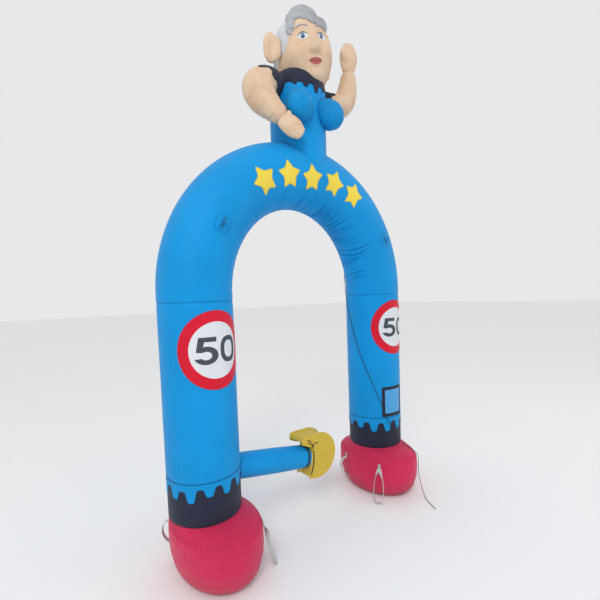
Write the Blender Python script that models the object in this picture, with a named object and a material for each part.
"""Inflatable entrance arch with a waving figure on its crown, in metres, +Z up.

The front of the arch faces -Y and its width runs along X. The origin is on the
ground, midway between the two feet. Each chamber, skirt, patch and strap that a
maker would cut and sew is its own closed solid.
"""
import bpy
import bmesh
from math import cos, degrees, exp, pi, radians, sin, sqrt, tanh, tau
from mathutils import Matrix, Vector

# Driving sizes of the arch
TUBE_R = 0.300          # radius of the inflated tube
ARCH_R = 1.093          # centreline radius of the bend, half the spacing of the legs
ARCH_Y = 0.062          # the arch stands this far behind the middle of its feet
Z_BAND = 0.496          # bottom of the navy band, top of the foot
Z_DRIP = 0.835          # seam over the drip skirt
Z_RING = 2.213          # ring seam between leg and bend
Z_SPRING = 2.278        # the bend starts here
GAP = 0.0003            # clearance between pieces that touch
CROWN = Vector((0, ARCH_Y, Z_SPRING))       # centre of the bend

# The round chambers
LEG_SIDES = 32
BEND_SIDES = 20
BEND_STEPS = 48
BEND_PUCKER = 0.005     # depth of the cross wrinkles on the inner bend
SEAM_PINCH = 0.004      # a seam draws the tube in by this much

# Navy band and drip skirt
BAND_R = 0.2975
SKIRT_IN = 0.2985
SKIRT_T = 0.0015
DRIPS = {
    # side: number of drips, bearing of one drip in degrees, then rows of
    # (length of the drip, height of the notch after it)
    "left": (13, -17.5, [(0.105, 0.035), (0.120, 0.030), (0.115, 0.045), (0.130, 0.040),
                         (0.100, 0.050), (0.125, 0.035), (0.140, 0.045), (0.110, 0.030),
                         (0.120, 0.050), (0.105, 0.040), (0.130, 0.035), (0.125, 0.055),
                         (0.142, 0.040)]),
    "right": (12, -22.0, [(0.150, 0.040), (0.140, 0.050), (0.115, 0.040), (0.130, 0.055),
                          (0.105, 0.035), (0.125, 0.045), (0.140, 0.050), (0.110, 0.040),
                          (0.130, 0.045), (0.118, 0.060), (0.120, 0.050), (0.150, 0.055)]),
}

# The feet: outline, then rows of (height, share of the outline, share of the leg's circle)
FOOT_X = 1.046
FOOT_HALF_X = 0.353
FOOT_HALF_Y = 0.490
FOOT_WIDEST = 0.270     # height of a foot's widest line
FOOT_SECTIONS = [
    (0.000, 0.720, 0.00), (0.020, 0.830, 0.00), (0.055, 0.900, 0.00), (0.100, 0.950, 0.00),
    (0.200, 0.992, 0.00), (FOOT_WIDEST, 1.000, 0.00), (0.340, 0.985, 0.00), (0.400, 0.945, 0.03),
    (0.440, 0.900, 0.12), (0.468, 0.850, 0.40), (0.486, 0.800, 0.80), (Z_BAND - GAP, 0.750, 1.00),
]

# Sign, pocket, guy patches and motifs
SIGN_R = 0.302
SIGN_Z = 1.849
SIGN_BEARING = radians(4.2)
SHEET_T = 0.0012
SHEET_LIFT = 0.0008
POCKET_BEARING = radians(-5.0)
POCKET = (0.150, 0.850, 1.185)              # half width, bottom, top
POCKET_RIM = 0.035
POCKET_T = 0.002
ROUND_LIFT = 0.0018      # lift of a sheet with larger faces over the bend
MOTIF_R = 0.130
MOTIF_WAIST = 0.55
MOTIFS = [
    # angle from the crown, lean to the outside, spin, all in degrees
    (-31.5, -3.0, 8), (-16.6, -8.0, -6), (-1.8, -14.0, 5), (13.2, -10.0, -7), (28.0, -6.0, 6),
]
GUY_ANGLE = 61.5
GUY_PATCH = 0.065                           # half width of a guy patch
WEBBING = 0.040                             # width of the feet's webbing
WEBBING_T = 0.0025
SEWN = WEBBING_T / 2 + 0.0008               # middle of a webbing that is sewn flat on a wall

# Air sleeve and blower
SLEEVE_R = 0.114
SLEEVE_START_Z = 0.757
SLEEVE_END = Vector((0.000, ARCH_Y, 0.608))
BLOWER_MIDDLE = (0.095, 0.030)              # middle of the fan, along the sleeve and above it
BLOWER_LIP = (-0.130, 0.205)                # tip of the housing's lip over the sleeve
BLOWER_R = 0.210
BLOWER_W = 0.200
BLOWER_FOOT = 0.178                         # lowest point of its outlet below the sleeve's axis

# The figure
TORSO = Vector((0.030, 0.030, 0))
TORSO_R = 0.270
TORSO_SEAT = [
    # share of the radius, clearance to the bend
    (0.22, 0.0030), (0.50, 0.0036), (0.74, 0.0040), (0.89, 0.0040), (0.96, 0.0036), (1.00, 0.0030),
]
TORSO_ROWS = [
    # height, share of the radius
    (3.815, 0.985), (3.975, 0.980), (4.115, 1.005), (4.205, 0.975), (4.260, 0.890),
    (4.300, 0.740), (4.320, 0.500),
]
COLLAR_LIFT = 0.0018
CUP_CLEAR = 0.0021
COLLAR_TOP = 4.205
SEAM_CLEAR = 0.0006      # a piece sewn against a round one stays this far off it
SUNK = 0.010             # such a piece is made this deep in the round one, then cut to fit
HEAD = Vector((0.070, -0.035, 4.480))
HEAD_RADII = Vector((0.262, 0.275, 0.345))
HEAD_LEAN = radians(8.0)

ROPE_R = 0.004


# Materials

def material(name, colour, roughness, metallic=0.0):
    made = bpy.data.materials.new(name)
    made.use_nodes = True
    shader = made.node_tree.nodes["Principled BSDF"]
    shader.inputs["Base Color"].default_value = (*colour, 1)
    shader.inputs["Roughness"].default_value = roughness
    shader.inputs["Metallic"].default_value = metallic
    return made


# Mesh helpers

def new_object(name, mesh, finish, smooth=40):
    mesh.materials.append(finish)
    mesh.shade_smooth()
    mesh.set_sharp_from_angle(angle=radians(smooth))
    made = bpy.data.objects.new(name, mesh)
    bpy.context.collection.objects.link(made)
    return made


def from_faces(name, points, faces, finish, smooth=40):
    mesh = bpy.data.meshes.new(name)
    mesh.from_pydata([tuple(p) for p in points], [], faces)
    work = bmesh.new()
    work.from_mesh(mesh)
    bmesh.ops.recalc_face_normals(work, faces=work.faces)
    work.to_mesh(mesh)
    work.free()
    return new_object(name, mesh, finish, smooth)


def loft(name, rings, finish, smooth=40, first=None):
    """Closed solid through rings of equal counts, with a fan over each end. Its walls are split
    into triangles, so that a cutter made the same way has the same facets."""
    count = len(rings[0])
    points = [p for ring in rings for p in ring]
    faces = []
    for row in range(len(rings) - 1):
        for i in range(count):
            j = (i + 1) % count
            a, b = row * count, (row + 1) * count
            faces += [(a + i, a + j, b + j), (a + i, b + j, b + i)]
    for row in (0, len(rings) - 1):
        middle = sum((Vector(p) for p in rings[row]), Vector()) / count
        points.append(first if first is not None and row == 0 else middle)
        top = len(points) - 1
        for i in range(count):
            faces.append((row * count + i, row * count + (i + 1) % count, top))
    return from_faces(name, points, faces, finish, smooth)


def ring_shell(name, inner, outer, finish, smooth=40):
    """Closed band from rows of inner and outer rings of equal counts."""
    count = len(inner[0])
    rows = len(inner)
    points = [p for ring in inner + outer for p in ring]
    faces = []

    def at(layer, row, i):
        return (layer * rows + row) * count + i % count

    for i in range(count):
        for layer in (0, 1):
            for row in range(rows - 1):
                faces.append((at(layer, row, i), at(layer, row, i + 1),
                              at(layer, row + 1, i + 1), at(layer, row + 1, i)))
        for row in (0, rows - 1):
            faces.append((at(0, row, i), at(0, row, i + 1), at(1, row, i + 1), at(1, row, i)))
    return from_faces(name, points, faces, finish, smooth)


def layered(name, lower, upper, faces, rim, finish, smooth=40):
    """Closed sheet from two layers of matching points, their faces and the rim's indices."""
    count = len(lower)
    all_faces = list(faces) + [tuple(count + i for i in face) for face in faces]
    for k, i in enumerate(rim):
        j = rim[(k + 1) % len(rim)]
        all_faces.append((i, j, count + j, count + i))
    return from_faces(name, lower + upper, all_faces, finish, smooth)


def strip_sheet(name, surface, columns, finish, lift=SHEET_LIFT, thick=SHEET_T, rows=1):
    """Thin sheet on a surface from columns of (u, lowest v, highest v), in rows of faces."""
    lower, upper = [], []
    for u, low, high in columns:
        for row in range(rows + 1):
            point, normal = surface(u, low + (high - low) * row / rows)
            lower.append(point + normal * lift)
            upper.append(point + normal * (lift + thick))
    pitch = rows + 1
    last = len(columns) - 1
    faces = []
    for i in range(last):
        for row in range(rows):
            a = pitch * i + row
            faces.append((a, a + pitch, a + pitch + 1, a + 1))
    rim = [pitch * i for i in range(last)]
    rim += [pitch * last + row for row in range(rows)]
    rim += [pitch * i + rows for i in range(last, 0, -1)]
    rim += [row for row in range(rows, 0, -1)]
    return layered(name, lower, upper, faces, rim, finish)


def rings_on(surface, outline, shares, heights):
    """Points on a surface for each share of an outline, raised by each height."""
    points = []
    for share, height in zip(shares, heights):
        for u, v in outline:
            point, normal = surface(u * share, v * share)
            points.append(point + normal * height)
    return points


def patch(name, surface, outline, rings, finish, lift, thick, crown=0.0):
    """Sheet or pad on a surface: an outline about (0, 0), filled by shrunken copies of itself."""
    shares = [1 - k / rings for k in range(rings)]
    lower = rings_on(surface, outline, shares, [lift] * rings)
    swell = [lift + thick + crown * sqrt(max(0.0, 1 - s * s)) for s in shares]
    upper = rings_on(surface, outline, shares, swell)
    point, normal = surface(0, 0)
    lower.append(point + normal * lift)
    upper.append(point + normal * (lift + thick + crown))
    count = len(outline)
    faces = []
    for k in range(rings - 1):
        for i in range(count):
            j = (i + 1) % count
            faces.append((k * count + i, k * count + j, (k + 1) * count + j, (k + 1) * count + i))
    last = (rings - 1) * count
    for i in range(count):
        faces.append((last + i, last + (i + 1) % count, rings * count))
    return layered(name, lower, upper, faces, list(range(count)), finish)


def frames_along(path):
    """Unit tangent and two unit normals at each point of a path, without twist."""
    tangents = []
    for i in range(len(path)):
        before, after = path[max(i - 1, 0)], path[min(i + 1, len(path) - 1)]
        tangents.append((after - before).normalized())
    side = tangents[0].orthogonal().normalized()
    frames = []
    for tangent in tangents:
        side = (side - tangent * side.dot(tangent)).normalized()
        frames.append((tangent, side, tangent.cross(side)))
    return frames


def smooth_path(points, count):
    """Evenly parameterised Catmull-Rom curve through points of equal length."""
    padded = [2 * points[0] - points[1]] + list(points) + [2 * points[-1] - points[-2]]
    spans = len(points) - 1
    made = []
    for k in range(count):
        t = k * spans / (count - 1)
        i = min(int(t), spans - 1)
        t -= i
        a, b, c, d = padded[i:i + 4]
        made.append(0.5 * (2 * b + (c - a) * t + (2 * a - 5 * b + 4 * c - d) * t * t
                           + (3 * b - a - 3 * c + d) * t ** 3))
    return made


def limb_rings(rows, steps, sides, flat=1.0, across=None):
    """Rings round a smooth path through rows of (x, y, z, radius)."""
    path4 = smooth_path([Vector(row) for row in rows], steps)
    path = [p.to_3d() for p in path4]
    rings = []
    for (tangent, side, other), centre, knot in zip(frames_along(path), path, path4):
        if across is not None:
            other = tangent.cross(across).normalized()
            side = other.cross(tangent).normalized()
        rings.append([centre + knot.w * (cos(tau * i / sides) * side
                                         + flat * sin(tau * i / sides) * other)
                      for i in range(sides)])
    return path, rings


def end_caps(middle, ring, way):
    """Two shrinking rings that round off the end of a limb."""
    return [[middle + (p - middle) * share + way * out for p in ring]
            for share, out in ((0.86, 0.38), (0.50, 0.72))]


def balloon(name, rows, steps, sides, finish, flat=1.0, across=None):
    """Inflated limb through rows of (x, y, z, radius), with rounded ends."""
    path, rings = limb_rings(rows, steps, sides, flat, across)
    ways = frames_along(path)
    head = end_caps(path[0], rings[0], -ways[0][0] * rows[0][3] * flat)
    tail = end_caps(path[-1], rings[-1], ways[-1][0] * rows[-1][3] * flat)
    return loft(name, head[::-1] + rings + tail, finish, 60)


def guide(made):
    """Marks an object as a cutter that isn't part of the model."""
    made.hide_render = True
    made.display_type = 'WIRE'
    return made


def boolean(target, tool, operation):
    step = target.modifiers.new(operation.title(), 'BOOLEAN')
    step.operation = operation
    step.object = tool
    step.solver = 'EXACT'


# Surfaces: each gives the point and the outward normal at (u, v)

def leg_surface(side, bearing=0.0):
    """u runs round the leg from the given bearing in metres, v is the height."""
    def surface(u, v):
        angle = bearing + u / TUBE_R
        out = Vector((sin(angle), -cos(angle), 0))
        return Vector((side * ARCH_R, ARCH_Y, v)) + out * TUBE_R, out
    return surface


def bend_surface(angle, lean=0.0, turn=0.0):
    """u runs along the bend and v round its tube, in metres, about a point at an angle
    from the crown and a lean from the front to the outside. turn spins the sheet."""
    def surface(u, v):
        a = u * cos(turn) - v * sin(turn)
        b = u * sin(turn) + v * cos(turn)
        theta = radians(angle) + a / ARCH_R
        phi = radians(lean) + b / TUBE_R
        radial = Vector((sin(theta), 0, cos(theta)))
        out = radial * sin(phi) + Vector((0, -cos(phi), 0))
        return CROWN + radial * ARCH_R + out * TUBE_R, out
    return surface


def head_matrix():
    return Matrix.Translation(HEAD) @ Matrix.Rotation(-HEAD_LEAN, 4, 'Y')


def head_surface(azimuth, elevation):
    """u and v are degrees to the right and upward from a direction seen from the front."""
    turn = Matrix.Rotation(radians(azimuth), 3, 'Z') @ Matrix.Rotation(-radians(elevation), 3, 'X')
    place = head_matrix()

    def surface(u, v):
        local = Vector((sin(radians(u)) * cos(radians(v)), -cos(radians(u)) * cos(radians(v)),
                        sin(radians(v))))
        way = turn @ local
        point = Vector(w * r for w, r in zip(way, HEAD_RADII))
        normal = Vector(w / r for w, r in zip(way, HEAD_RADII)).normalized()
        return place @ point, (place.to_3x3() @ normal).normalized()
    return surface


# Outlines about (0, 0)

def ellipse(half_u, half_v, count, square=2.0):
    made = []
    for i in range(count):
        c, s = cos(tau * i / count), sin(tau * i / count)
        made.append((half_u * abs(c) ** (2 / square) * (1 if c >= 0 else -1),
                     half_v * abs(s) ** (2 / square) * (1 if s >= 0 else -1)))
    return made


def star(radius, waist, points=5):
    """Star outline with a point halfway along each edge, so it can follow a round tube."""
    corners = []
    for i in range(2 * points):
        reach = radius if i % 2 == 0 else radius * waist
        angle = pi / 2 + pi * i / points
        corners.append(Vector((reach * cos(angle), reach * sin(angle))))
    made = []
    for here, ahead in zip(corners, corners[1:] + corners[:1]):
        made += [tuple(here), tuple((here + ahead) / 2)]
    return made


# The arch's tube

def circle(centre, radius, sides, z, start=0.0):
    return [Vector((centre[0] + radius * sin(start + tau * i / sides),
                    centre[1] - radius * cos(start + tau * i / sides), z)) for i in range(sides)]


def make_leg(name, side, finish):
    span = Z_RING - Z_DRIP
    rows = [(0.0, 1.0), (0.020, 0.25), (0.060, 0.0), (0.940, 0.0), (0.980, 0.25), (1.0, 1.0)]
    rings = []
    for share, pinch in rows:
        z = Z_DRIP + GAP + share * (span - 2 * GAP)
        rings.append(circle((side * ARCH_R, ARCH_Y), TUBE_R - SEAM_PINCH * pinch, LEG_SIDES, z))
    return loft(name, rings, finish)


def pucker(theta, phi):
    """Cross wrinkles on the inner side of the bend, deepest where it faces the ground."""
    inner = max(0.0, -sin(phi)) ** 1.5
    wave = 0.55 * sin(31 * theta + 0.8) + 0.45 * sin(19 * theta + 2.1 * cos(phi))
    return BEND_PUCKER * inner * (0.5 + 0.5 * wave)


def make_bend(name, finish):
    rings = []
    for side, pinch in ((-1, 1.0), (-1, 0.0)):
        z = Z_RING + GAP + (0.02 if pinch == 0 else 0)
        ring = []
        for i in range(BEND_SIDES):
            phi = tau * i / BEND_SIDES
            reach = TUBE_R - SEAM_PINCH * pinch
            ring.append(Vector((-ARCH_R - reach * sin(phi), ARCH_Y - reach * cos(phi), z)))
        rings.append(ring)
    for k in range(BEND_STEPS + 1):
        theta = pi * k / BEND_STEPS - pi / 2
        radial = Vector((sin(theta), 0, cos(theta)))
        ring = []
        for i in range(BEND_SIDES):
            phi = tau * i / BEND_SIDES
            reach = TUBE_R - pucker(theta, phi)
            out = radial * sin(phi) + Vector((0, -cos(phi), 0))
            ring.append(CROWN + radial * ARCH_R + out * reach)
        rings.append(ring)
    for low in reversed(rings[:2]):
        rings.append([Vector((-p.x, p.y, p.z)) for p in low])
    return loft(name, rings, finish)


def make_band(name, side, finish):
    rows = [(Z_BAND, 0.003), (Z_BAND + 0.02, 0.0), (Z_DRIP - GAP, 0.0)]
    rings = [circle((side * ARCH_R, ARCH_Y), BAND_R - pinch, LEG_SIDES, z) for z, pinch in rows]
    return loft(name, rings, finish)


def drip_depth(phase, rows):
    """Depth of a drip edge at a phase in drips: steep flanks, round tips and notches."""
    k = int(phase + 0.5) % len(rows)
    length = rows[k][0]
    notch = rows[k if phase + 0.5 - int(phase + 0.5) >= 0.5 else k - 1][1]
    wave = tanh(1.8 * cos(tau * phase)) / tanh(1.8)
    return notch + (length - notch) * (0.5 + 0.5 * wave)


def make_skirt(name, side, key, finish):
    count, bearing, rows = DRIPS[key]
    columns = count * 5
    inner, outer = [[], []], [[], []]
    for i in range(columns):
        phase = i / 5
        angle = radians(bearing) + tau * i / columns
        depth = drip_depth(phase, rows)
        for rings, reach in ((inner, SKIRT_IN), (outer, SKIRT_IN + SKIRT_T)):
            for ring, z in zip(rings, (Z_DRIP - GAP, Z_DRIP - depth)):
                ring.append(Vector((side * ARCH_R + reach * sin(angle),
                                    ARCH_Y - reach * cos(angle), z)))
    return ring_shell(name, inner, outer, finish)


def foot_outline(angle, share, blend, side):
    """Point of a foot's section at an angle from the front, with its leg's circle blended in."""
    c, s = sin(angle), -cos(angle)
    oval = Vector((side * FOOT_X + share * FOOT_HALF_X * c, share * FOOT_HALF_Y * s))
    ring = Vector((side * ARCH_R + BAND_R * c, ARCH_Y + BAND_R * s))
    return oval.lerp(ring, blend)


def make_foot(name, side, finish):
    rings = []
    for z, share, blend in FOOT_SECTIONS:
        ring = []
        for i in range(LEG_SIDES):
            flat = foot_outline(tau * i / LEG_SIDES, share, blend, side)
            ring.append(Vector((flat.x, flat.y, z)))
        rings.append(ring)
    return loft(name, rings, finish)


def foot_reach(side, angle, z):
    """Point and outward normal of a foot's wall at an angle and a height."""
    rows = FOOT_SECTIONS
    k = max(i for i in range(len(rows) - 1) if rows[i][0] <= z)
    t = (z - rows[k][0]) / (rows[k + 1][0] - rows[k][0])
    share = rows[k][1] + t * (rows[k + 1][1] - rows[k][1])
    blend = rows[k][2] + t * (rows[k + 1][2] - rows[k][2])
    here = foot_outline(angle, share, blend, side)
    along = foot_outline(angle + 0.01, share, blend, side) - foot_outline(angle - 0.01, share, blend, side)
    along.normalize()
    return Vector((here.x, here.y, z)), Vector((along.y, -along.x, 0))


# Webbing

def strap(name, path, across, width, thick, finish):
    """Flat webbing swept along a path, with the direction of its width at each point."""
    rings = []
    for (tangent, _, _), point, flat in zip(frames_along(path), path, across):
        wide = (flat - tangent * flat.dot(tangent)).normalized()
        up = tangent.cross(wide)
        rings.append([point + wide * (width / 2 * a) + up * (thick / 2 * b)
                      for a, b in ((-1, -1), (1, -1), (1, 1), (-1, 1))])
    return loft(name, rings, finish, 30)


HANDLE = [
    # height, distance of the webbing's middle from the wall
    (0.396, SEWN), (0.352, SEWN), (0.343, 0.012), (0.338, 0.034), (0.318, 0.055), (0.285, 0.068),
    (0.240, 0.072), (0.200, 0.062), (0.168, 0.042), (0.150, 0.018), (0.140, SEWN), (0.106, SEWN),
]
HANGING = [
    # height, distance from the wall, shift along the wall, share of the turn
    (0.392, SEWN, 0.000, 0.0), (0.350, SEWN, 0.000, 0.0), (0.333, 0.014, -0.008, 0.2),
    (0.300, 0.026, -0.022, 0.6), (0.245, 0.036, -0.040, 1.0), (0.160, 0.052, -0.052, 1.0),
    (0.080, 0.070, -0.050, 1.0), (0.030, 0.086, -0.036, 1.0), (0.016, 0.094, -0.014, 1.0),
    (0.016, 0.094, 0.014, 1.0), (0.030, 0.086, 0.036, 1.0), (0.080, 0.070, 0.050, 1.0),
    (0.160, 0.052, 0.052, 1.0), (0.245, 0.040, 0.040, 1.0), (0.300, 0.034, 0.022, 0.6),
    (0.333, 0.024, 0.008, 0.2), (0.350, SEWN + 0.0035, 0.000, 0.0), (0.392, SEWN + 0.0035, 0.000, 0.0),
]


def foot_handle(name, side, bearing, finish):
    """Webbing handle that stands off the foot's side, sewn at its top and bottom."""
    places = []
    for z, out in HANDLE:
        point, normal = foot_reach(side, radians(bearing), z)
        places.append(point + normal * out)
    across = normal.cross(Vector((0, 0, 1)))
    return strap(name, places, [across] * len(places), WEBBING, WEBBING_T, finish)


def hanging_loop(name, side, bearing, finish):
    """Webbing loop sewn by both ends above the foot's widest line, hanging to the ground. Its
    ends lie flat on the foot, and its strands turn edge on as they hang."""
    places, across = [], []
    for z, out, shift, turn in HANGING:
        point, normal = foot_reach(side, radians(bearing), max(z, FOOT_WIDEST))
        along = normal.cross(Vector((0, 0, 1)))
        places.append(Vector((point.x, point.y, z)) + normal * out + along * shift)
        across.append(along.lerp(normal, turn))
    return strap(name, places, across, WEBBING * 0.75, WEBBING_T, finish)


# Small sewn sheets

def make_sign(name, side, finish):
    columns = []
    for i in range(25):
        angle = -pi / 2 + pi * i / 24
        u = SIGN_R * sin(angle)
        half = max(SIGN_R * cos(angle), 0.004)
        columns.append((u, SIGN_Z - half, SIGN_Z + half))
    return strip_sheet(name, leg_surface(side, SIGN_BEARING), columns, finish)


def make_pocket(finish_rim, finish_window):
    half, low, high = POCKET
    on_leg = leg_surface(1, POCKET_BEARING)
    inner = half - POCKET_RIM
    steps = 12
    us = [-half + 2 * half * i / steps for i in range(steps + 1)]
    corners = []
    for v in (low, high):
        row = us if v == low else list(reversed(us))
        corners += [(u, v) for u in row]
    lower, upper = [], []
    for share, cut in ((1.0, 0.0), (inner / half, POCKET_RIM)):
        for u, v in corners:
            point, normal = on_leg(u * share, v + (cut if v == low else -cut))
            lower.append(point + normal * SHEET_LIFT)
            upper.append(point + normal * (SHEET_LIFT + POCKET_T))
    count = len(corners)
    total = 2 * count
    faces = []
    for i in range(count):
        j = (i + 1) % count
        for base in (0, total):
            faces.append((base + i, base + j, base + count + j, base + count + i))
        for ring in (0, count):
            faces.append((ring + i, ring + j, total + ring + j, total + ring + i))
    from_faces("pocket_frame", lower + upper, faces, finish_rim)
    reach = inner - 2 * GAP
    columns = [(-reach + 2 * reach * i / 10, low + POCKET_RIM + 2 * GAP, high - POCKET_RIM - 2 * GAP)
               for i in range(11)]
    strip_sheet("pocket_window", on_leg, columns, finish_window)


GUY_LOOP = [
    # place along the bend, distance of the webbing's middle from the tube
    (-0.050, 0.0047), (-0.024, 0.0047), (-0.017, 0.0120), (-0.014, 0.0300), (-0.009, 0.0470),
    (0.000, 0.0550), (0.009, 0.0470), (0.014, 0.0300), (0.017, 0.0120), (0.024, 0.0047),
    (0.050, 0.0047),
]


def make_guy_patch(name, side, face, cloth, webbing):
    """Sewn square on the bend's front (face 0) or back (face 180) with its webbing loop."""
    on_bend = bend_surface(side * GUY_ANGLE, face, 0.0)
    patch(name, on_bend, ellipse(GUY_PATCH, GUY_PATCH, 12, 4.0), 3, cloth, ROUND_LIFT, SHEET_T)
    centre, normal = on_bend(0, 0)
    along = on_bend(0.01, 0)[0] - centre
    along = (along - normal * along.dot(normal)).normalized()
    across = normal.cross(along)
    places = [centre + along * a + normal * b for a, b in GUY_LOOP]
    strap(name.replace("patch", "loop"), places, [across] * len(places), 0.025, 0.002, webbing)


# Air sleeve and blower

def sleeve_axis():
    start = Vector((-ARCH_R + TUBE_R, ARCH_Y, SLEEVE_START_Z))
    return start, (SLEEVE_END - start).normalized()


def make_sleeve(name, finish):
    start, way = sleeve_axis()
    up = Vector((0, -1, 0)).cross(way)
    sides = 20
    seats = ((0.25, 0.0018), (0.50, 0.0018), (0.75, 0.0016), (1.0, 0.0007))
    stations = ((0.10, 1.0), (0.55, 1.02), (0.93, 0.98), (1.0, 0.93))
    rings = [[] for _ in seats + stations]
    length = (SLEEVE_END - start).length
    for i in range(sides):
        a = tau * i / sides
        spoke = Vector((0, -1, 0)) * cos(a) + up * sin(a)
        for ring, (share, clear) in zip(rings, seats):
            base = start + spoke * SLEEVE_R * share
            x = -ARCH_R + sqrt((TUBE_R + clear) ** 2 - (base.y - ARCH_Y) ** 2)
            ring.append(base + way * ((x - base.x) / way.x))
        for ring, (share, swell) in zip(rings[len(seats):], stations):
            ring.append(start + way * length * share + spoke * SLEEVE_R * swell)
    return loft(name, rings, finish, first=start + way * 0.0018)


STRAP_BACK = (0.046, 0.024)     # edges of the tie strap, back from the sleeve's end


def make_sleeve_strap(name, finish):
    start, way = sleeve_axis()
    up = Vector((0, -1, 0)).cross(way)
    inner, outer = [[], []], [[], []]
    length = (SLEEVE_END - start).length
    for i in range(20):
        a = tau * i / 20
        spoke = Vector((0, -1, 0)) * cos(a) + up * sin(a)
        for rings, extra in ((inner, SHEET_LIFT), (outer, SHEET_LIFT + WEBBING_T)):
            for ring, back in zip(rings, STRAP_BACK):
                swell = 0.98 - 0.05 * (0.07 - back / length) / 0.07
                ring.append(start + way * (length - back) + spoke * (SLEEVE_R * swell + extra))
    return ring_shell(name, inner, outer, finish)


def blower_point(along, over, y=0.0):
    """Point of the blower's side view: along the sleeve from its end, and above its axis."""
    way = sleeve_axis()[1]
    up = Vector((0, -1, 0)).cross(way)
    return SLEEVE_END + way * along + up * over + Vector((0, y, 0))


def prism(name, outline, low_y, high_y, finish, bevel):
    """Side view pulled out along Y, with its edges rounded by a bevel."""
    work = bmesh.new()
    face = work.faces.new([work.verts.new(blower_point(a, b, low_y)) for a, b in outline])
    pulled = bmesh.ops.extrude_face_region(work, geom=[face])
    moved = [part for part in pulled["geom"] if isinstance(part, bmesh.types.BMVert)]
    bmesh.ops.translate(work, verts=moved, vec=(0, high_y - low_y, 0))
    bmesh.ops.recalc_face_normals(work, faces=work.faces)
    mesh = bpy.data.meshes.new(name)
    work.to_mesh(mesh)
    work.free()
    made = new_object(name, mesh, finish, 35)
    rounding = made.modifiers.new("Rounding", 'BEVEL')
    rounding.width = bevel
    rounding.segments = 2
    rounding.limit_method = 'ANGLE'
    rounding.angle_limit = radians(50)
    return made


def make_blower(case, dark):
    """Snail housing against the sleeve's end, its top lip reaching back over the sleeve."""
    centre, lip = Vector(BLOWER_MIDDLE), Vector(BLOWER_LIP)
    outline = []
    for k in range(19):
        angle = radians(104 - 206 * k / 18)
        outline.append((centre.x + BLOWER_R * cos(angle), centre.y + BLOWER_R * sin(angle)))
    outline += [(GAP, -BLOWER_FOOT), (GAP, 0.135), (-0.060, 0.146), (lip.x, lip.y - 0.042), (lip.x, lip.y)]
    prism("blower_case", outline, -BLOWER_W / 2, BLOWER_W / 2, case, 0.018)
    sides = 16
    grille = []
    for y, reach in ((GAP, 0.088), (0.014, 0.085), (0.022, 0.052)):
        grille.append([blower_point(centre.x + reach * cos(tau * i / sides),
                                    centre.y + reach * sin(tau * i / sides),
                                    BLOWER_W / 2 + y) for i in range(sides)])
    loft("blower_grille", grille, dark)


# The figure

def torso_radius(z):
    rows = TORSO_ROWS
    if z <= rows[0][0]:
        return TORSO_R * rows[0][1]
    for (z0, s0), (z1, s1) in zip(rows, rows[1:]):
        if z <= z1:
            return TORSO_R * (s0 + (s1 - s0) * (z - z0) / (z1 - z0))
    return TORSO_R * rows[-1][1]


def crown_height(x, y, clear):
    """Height over a plan point of the bend's outer surface, cleared all round."""
    dy = y - ARCH_Y
    reach = ARCH_R + sqrt((TUBE_R + clear) ** 2 - dy * dy)
    return Z_SPRING + sqrt(reach * reach - x * x)


TORSO_SIDES = 26


def make_torso(name, finish):
    rings = []
    for share, clear in TORSO_SEAT:
        ring = circle(TORSO, torso_radius(0) * share, TORSO_SIDES, 0)
        rings.append([Vector((p.x, p.y, crown_height(p.x, p.y, clear))) for p in ring])
    for z, share in TORSO_ROWS:
        rings.append(circle(TORSO, TORSO_R * share, TORSO_SIDES, z))
    middle = Vector((TORSO.x, TORSO.y, crown_height(TORSO.x, TORSO.y, TORSO_SEAT[0][1])))
    return loft(name, rings, finish, first=middle)


def torso_form(name, finish, extra):
    """Cutter on the torso's own facets, a little larger, for what is sewn against it."""
    low = TORSO_ROWS[0]
    rows = [(low[0] - 0.1, low[1])] + TORSO_ROWS
    rings = [circle(TORSO, share * TORSO_R + extra, TORSO_SIDES, z + (extra if z > COLLAR_TOP else 0))
             for z, share in rows]
    return guide(loft(name, rings, finish))


def torso_surface(bearing, height):
    def surface(u, v):
        z = height + v
        angle = bearing + u / TORSO_R
        out = Vector((sin(angle), -cos(angle), 0))
        return Vector((TORSO.x, TORSO.y, z)) + out * torso_radius(z), out
    return surface


def make_cup(name, bearing, height, finish):
    """Half balloon on the torso's front, hanging a little."""
    on_torso = torso_surface(radians(bearing), height)
    middle, out = on_torso(0, 0)
    count, levels, radius, stand = 16, 4, 0.138, 0.045
    push = out + Vector((0, 0, -0.12))
    lower = []
    for share in (1.0, 2 / 3, 1 / 3):
        for i in range(count):
            a = tau * i / count
            reach = radius * 0.92 * share
            point, normal = on_torso(reach * cos(a), reach * sin(a))
            lower.append(point + normal * CUP_CLEAR)
    lower.append(middle + out * CUP_CLEAR)
    rings = []
    for k in range(1, levels + 1):
        lift = radians(-10 + 88 * k / levels)
        ring = []
        for i in range(count):
            a = tau * i / count
            spread = radius * cos(lift)
            base = on_torso(spread * cos(a), spread * sin(a))[0]
            flat = base - out * (base - middle).dot(out)
            rise = stand + radius * 1.02 * sin(lift)
            ring.append(base.lerp(flat, min(1.0, k / 2)) + push * max(rise, 0.004 + 0.012 * k))
        rings.append(ring)
    return cup_solid(name, lower, rings, middle + push * (stand + radius * 1.02), finish)


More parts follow.
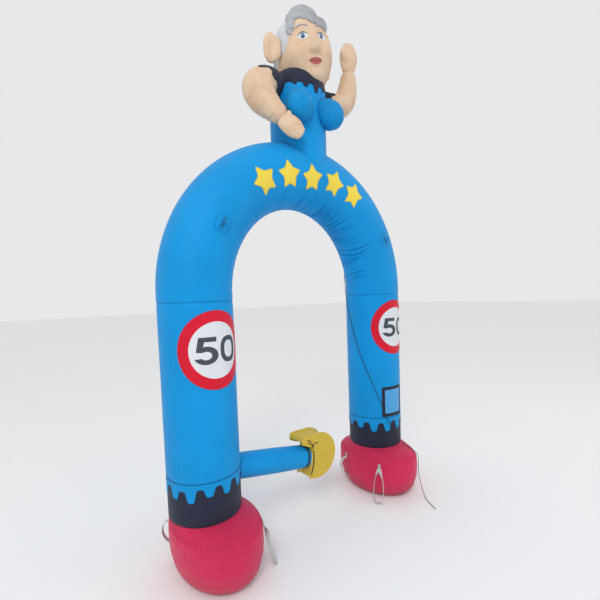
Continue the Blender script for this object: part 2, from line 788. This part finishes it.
def cup_solid(name, lower, rings, tip, finish):
    """Closed solid from three rings and a middle point underneath, and the rings above."""
    count = len(rings[0])
    points = lower + [p for ring in rings for p in ring] + [tip]
    faces = []
    upper = len(lower)
    for i in range(count):
        j = (i + 1) % count
        for k in range(2):
            faces.append((k * count + i, k * count + j, (k + 1) * count + j, (k + 1) * count + i))
        faces.append((2 * count + i, 2 * count + j, 3 * count))
        faces.append((i, j, upper + j, upper + i))
        for k in range(len(rings) - 1):
            a, b = upper + k * count, upper + (k + 1) * count
            faces.append((a + i, a + j, b + j, b + i))
        last = upper + (len(rings) - 1) * count
        faces.append((last + i, last + j, len(points) - 1))
    return from_faces(name, points, faces, finish, 60)


def make_collar(name, bearing, finish):
    """Navy half yoke below the neck with a dripping edge, from shoulder to shoulder."""
    drips, span = 5, radians(56)
    rows = [(0.120, 0.075), (0.150, 0.085), (0.125, 0.070), (0.145, 0.080), (0.115, 0.070)]
    columns = []
    steps = drips * 5
    for i in range(steps + 1):
        share = 2 * i / steps - 1
        depth = drip_depth((i + 2.5) / 5, rows) * (1 - 0.62 * share * share)
        columns.append((share * span * TORSO_R, -depth, 0.0))
    surface = torso_surface(radians(bearing), COLLAR_TOP)
    return strip_sheet(name, surface, columns, finish, COLLAR_LIFT, 0.003, 3)


# Limbs as rows of (x, y, z, radius)
LEFT_ARM = [(-0.190, 0.028, 4.150, 0.105), (-0.325, 0.008, 4.138, 0.136), (-0.436, -0.020, 4.062, 0.150),
            (-0.442, -0.065, 3.955, 0.134), (-0.395, -0.120, 3.866, 0.108), (-0.350, -0.165, 3.808, 0.084)]
LEFT_HAND = [(-0.318, -0.206, 3.751, 0.078), (-0.283, -0.238, 3.707, 0.088), (-0.246, -0.264, 3.667, 0.084),
             (-0.213, -0.282, 3.637, 0.062)]
LEFT_THUMB = [(-0.300, -0.222, 3.715, 0.036), (-0.302, -0.246, 3.763, 0.030), (-0.304, -0.256, 3.797, 0.022)]
RIGHT_ARM = [(0.235, 0.014, 4.165, 0.090), (0.330, -0.006, 4.150, 0.100), (0.425, -0.046, 4.125, 0.116),
             (0.520, -0.085, 4.150, 0.118), (0.570, -0.105, 4.245, 0.104), (0.588, -0.112, 4.345, 0.090),
             (0.594, -0.115, 4.415, 0.078)]
RIGHT_HAND = [(0.596, -0.116, 4.490, 0.072), (0.600, -0.118, 4.575, 0.098), (0.604, -0.120, 4.655, 0.098),
              (0.600, -0.122, 4.725, 0.066)]
RIGHT_THUMB = [(0.560, -0.130, 4.555, 0.034), (0.505, -0.140, 4.615, 0.030), (0.500, -0.142, 4.660, 0.022)]
ARM_STEPS = 9
ARM_SIDES = 14


def grown(rows, extra):
    return [(x, y, z, radius + extra) for x, y, z, radius in rows]


def make_arm(name, rows, forms, finish):
    arm = balloon(name, rows, ARM_STEPS, ARM_SIDES, finish)
    for form in forms:
        boolean(arm, form, 'DIFFERENCE')
    return guide(balloon(name + "_form", grown(rows, SEAM_CLEAR), ARM_STEPS, ARM_SIDES, finish))


def make_hand(name, palm_rows, thumb_rows, across, arm_form, finish):
    palm = balloon(name, palm_rows, 5, 12, finish, 0.58, across)
    thumb = guide(balloon(name + "_thumb_form", thumb_rows, 3, 8, finish, 1.0))
    boolean(palm, thumb, 'UNION')
    boolean(palm, arm_form, 'DIFFERENCE')
    return palm


SLEEVE_START = 0.15             # where a sleeve begins, in rings along its arm
SLEEVE_LIFT = 0.0022
SLEEVE_T = 0.0026
SLEEVE_DRIPS = {
    # side: lengths of the drips in rings along the arm, and the height of the notches
    "left": (1.72, [0.30, 0.22, 0.34, 0.24, 0.32, 0.20, 0.28]),
    "right": (2.10, [0.42, 0.30, 0.46, 0.34, 0.40, 0.28, 0.44]),
}


def make_garment_sleeve(key, rows, forms, finish):
    """Short navy sleeve on the facets of an arm, with a dripping edge."""
    path, rings = limb_rings(rows, ARM_STEPS, ARM_SIDES)
    start, lengths = SLEEVE_DRIPS[key]
    columns = 2 * ARM_SIDES
    levels = [SLEEVE_START] + [float(k) for k in range(1, int(start) + 1)]
    inner, outer = ([[] for _ in range(len(levels) + 1)] for _ in range(2))
    for i in range(columns):
        length = lengths[(i // 4) % len(lengths)] * (1.0 if i % 4 == 1 else 0.5 if i % 2 == 0 else 0.0)
        for level, along in enumerate(levels + [start + 0.02 + length * 0.6]):
            k = int(along)
            share = along - k
            near, far = i // 2, (i // 2 + i % 2) % ARM_SIDES
            low = (rings[k][near] + rings[k][far]) / 2
            high = (rings[k + 1][near] + rings[k + 1][far]) / 2
            spot = low.lerp(high, share)
            out = (spot - path[k].lerp(path[k + 1], share)).normalized()
            inner[level].append(spot + out * SLEEVE_LIFT)
            outer[level].append(spot + out * (SLEEVE_LIFT + SLEEVE_T))
    made = ring_shell("sleeve_" + key, inner, outer, finish, 50)
    for form in forms:
        boolean(made, form, 'DIFFERENCE')


FACE = [
    # soft mounds and hollows: azimuth, elevation, width, height in degrees, rise
    (0, -8, 9, 10, 0.060), (0, 6, 7, 14, 0.022),                  # nose and its bridge
    (-21, 8, 12, 8, -0.016), (21, 8, 12, 8, -0.016),              # eye hollows
    (0, -30, 18, 6, 0.014), (0, -50, 22, 12, 0.018),              # mouth and chin
    (-34, -16, 16, 14, 0.012), (34, -16, 16, 14, 0.012),          # cheeks
]


def head_point(azimuth, elevation, grow=0.0):
    """Point of the head with a calm, plain face: brow, eye hollows, nose, lips and chin."""
    way = Vector((sin(azimuth) * cos(elevation), -cos(azimuth) * cos(elevation), sin(elevation)))
    base = Vector(w * r for w, r in zip(way, HEAD_RADII))
    a = (degrees(azimuth) + 180) % 360 - 180
    e = degrees(elevation)
    rise = grow
    for at_a, at_e, wide, tall, high in FACE:
        rise += high * exp(-((a - at_a) / wide) ** 2 - ((e - at_e) / tall) ** 2)
    return head_matrix() @ (base + base.normalized() * rise)


def head_rings(grow=0.0):
    rings = []
    for k in range(1, 15):
        elevation = -pi / 2 + pi * k / 15
        ring = []
        for i in range(26):
            share = i / 26
            azimuth = tau * share - 0.55 * sin(tau * share)
            ring.append(head_point(azimuth, elevation, grow))
        rings.append(ring)
    return rings


def make_ear(name, side, form, finish):
    """Upright ear: a flat round pad that stands off the side of the head."""
    count = 14
    place = head_matrix()
    root = place @ Vector((side * HEAD_RADII.x, 0.010, -0.010 - side * 0.030))
    out = (place.to_3x3() @ Vector((side, 0.30, 0))).normalized()
    up = (place.to_3x3() @ Vector((-side * 0.10, 0, 1))).normalized()
    back = out.cross(up).normalized()
    rings = []
    for along, tall, thick in ((-0.040, 0.060, 0.022), (0.045, 0.110, 0.032), (0.090, 0.132, 0.036),
                               (0.130, 0.118, 0.034), (0.155, 0.075, 0.024)):
        rings.append([root + out * along + up * (tall * sin(tau * i / count) + 0.012)
                      + back * (thick * cos(tau * i / count)) for i in range(count)])
    boolean(loft(name, rings, finish, 60), form, 'DIFFERENCE')


HAIR = [
    # name, azimuth, elevation, half width, half height in degrees, thickness, crown, rings
    ("hair_top", -12, 74, 27, 26, 0.020, 0.050, 3),
    ("hair_front", 22, 36, 20, 8, 0.014, 0.026, 2),
    ("hair_side_left", -62, 24, 12, 20, 0.012, 0.020, 2),
    ("hair_side_right", 66, 22, 12, 20, 0.012, 0.020, 2),
    ("hair_back", 180, 26, 58, 46, 0.014, 0.030, 5),
]


# Guy rope: round the right leg as rows of (bearing in degrees, height, distance from the axis),
# over the foot as rows of (bearing, height, distance from its wall), then rows of (x, y, z)
ROPE_ON_LEG = [
    (-160.8, 2.787, 0.362), (-160.5, 2.715, 0.358), (-157.0, 2.615, 0.343), (-149.0, 2.505, 0.322),
    (-137.0, 2.365, 0.309), (-123.0, 2.195, 0.3065), (-109.0, 2.015, 0.3065), (-97.0, 1.845, 0.3065),
    (-84.0, 1.645, 0.3065), (-72.0, 1.475, 0.3065), (-60.0, 1.320, 0.3065), (-49.0, 1.185, 0.3070),
    (-38.5, 1.045, 0.3090), (-30.0, 0.925, 0.3095), (-22.0, 0.815, 0.3085), (-8.0, 0.695, 0.3065),
    (8.0, 0.587, 0.3065),
]
ROPE_ON_FOOT = [(21.0, 0.490, 0.030), (27.0, 0.455, 0.022), (29.5, 0.405, 0.016), (30.0, 0.340, 0.013),
                (29.5, FOOT_WIDEST, 0.013)]
ROPE_BELOW = [
    (1.214, -0.452, 0.180), (1.202, -0.486, 0.090), (1.178, -0.530, 0.026), (1.128, -0.590, 0.0048),
    (1.085, -0.652, 0.0048), (1.052, -0.712, 0.0048), (1.022, -0.774, 0.0048),
]
ROPE_POINTS = 60


def make_rope(name, finish):
    route = []
    for bearing, z, reach in ROPE_ON_LEG:
        angle = radians(bearing)
        route.append(Vector((ARCH_R + reach * sin(angle), ARCH_Y - reach * cos(angle), z)))
    for bearing, z, clear in ROPE_ON_FOOT:
        point, normal = foot_reach(1, radians(bearing), z)
        route.append(point + normal * clear)
    route += [Vector(row) for row in ROPE_BELOW]
    curve = bpy.data.curves.new(name, 'CURVE')
    curve.dimensions = '3D'
    curve.bevel_depth = ROPE_R
    curve.bevel_resolution = 2
    curve.use_fill_caps = True
    spline = curve.splines.new('POLY')
    places = smooth_path(route, ROPE_POINTS)
    spline.points.add(len(places) - 1)
    for point, place in zip(spline.points, places):
        point.co = (place.x, place.y, max(place.z, ROPE_R + 0.0006), 1)
    curve.materials.append(finish)
    made = bpy.data.objects.new(name, curve)
    bpy.context.collection.objects.link(made)
    return made


def build():
    for old in list(bpy.data.objects):
        bpy.data.objects.remove(old)

    blue = material("blue cloth", (0.010, 0.290, 0.760), 0.55)
    navy = material("navy cloth", (0.030, 0.038, 0.075), 0.60)
    crimson = material("crimson cloth", (0.620, 0.045, 0.110), 0.55)
    grey = material("grey webbing", (0.36, 0.39, 0.37), 0.75)
    red = material("sign red", (0.70, 0.02, 0.03), 0.45)
    black = material("black webbing", (0.02, 0.02, 0.025), 0.60)
    window = material("pocket window", (0.10, 0.36, 0.66), 0.30)
    yellow = material("yellow print cloth", (0.80, 0.60, 0.06), 0.50)
    case = material("yellow moulding", (0.72, 0.48, 0.03), 0.45)
    skin = material("skin cloth", (0.70, 0.48, 0.30), 0.55)
    hair = material("grey cloth", (0.42, 0.43, 0.46), 0.60)

    make_bend("arch_bend", blue)
    for key, side in (("left", -1), ("right", 1)):
        make_leg("leg_" + key, side, blue)
        make_band("band_" + key, side, navy)
        make_skirt("drip_" + key, side, key, blue)
        make_foot("foot_" + key, side, crimson)
        make_sign("sign_" + key, side, red)
        hanging_loop("loop_front_" + key, side, -side * 56.25, grey)
        foot_handle("loop_inner_" + key, side, -side * 112.5, grey)
        foot_handle("loop_outer_" + key, side, side * 135.0, grey)
        for face, lean in (("front", 3.0), ("back", 177.0)):
            make_guy_patch("guy_patch_" + face + "_" + key, side, lean, blue, blue)
    make_rope("guy_rope", black)
    make_pocket(navy, window)
    for i, (angle, lean, spin) in enumerate(MOTIFS):
        patch("motif_%d" % (i + 1), bend_surface(angle, lean, radians(spin)),
              star(MOTIF_R, MOTIF_WAIST), 3, yellow, ROUND_LIFT, SHEET_T)
    make_sleeve("air_sleeve", blue)
    make_sleeve_strap("sleeve_strap", black)
    make_blower(case, black)

    head_seat = guide(loft("head_seat", head_rings(SEAM_CLEAR), skin))
    torso_seat = torso_form("torso_seat", blue, SEAM_CLEAR)
    boolean(make_torso("torso", blue), head_seat, 'DIFFERENCE')
    make_cup("cup_left", -37, 3.915, blue)
    make_cup("cup_right", 31, 3.915, blue)
    for name, bearing in (("collar_front", 0), ("collar_back", 180)):
        boolean(make_collar(name, bearing, navy), head_seat, 'DIFFERENCE')
    left = make_arm("arm_left", LEFT_ARM, (torso_seat,), skin)
    right = make_arm("arm_right", RIGHT_ARM, (torso_seat, head_seat), skin)
    make_hand("hand_left", LEFT_HAND, LEFT_THUMB, Vector((0.55, -0.25, 0.80)), left, skin)
    make_hand("hand_right", RIGHT_HAND, RIGHT_THUMB, Vector((1.0, -0.15, 0.0)), right, skin)
    make_garment_sleeve("left", LEFT_ARM, (torso_seat,), navy)
    make_garment_sleeve("right", RIGHT_ARM, (torso_seat, head_seat), navy)
    loft("head", head_rings(), skin, 60)
    for key, side in (("left", -1), ("right", 1)):
        make_ear("ear_" + key, side, head_seat, skin)
    for name, azimuth, elevation, wide, tall, thick, crown, rings in HAIR:
        outline = ellipse(wide, tall, 10 + 2 * rings, 2.4)
        made = patch(name, head_surface(azimuth, elevation), outline, rings, hair, -SUNK,
                     thick + SUNK, crown)
        boolean(made, head_seat, 'DIFFERENCE')


build()
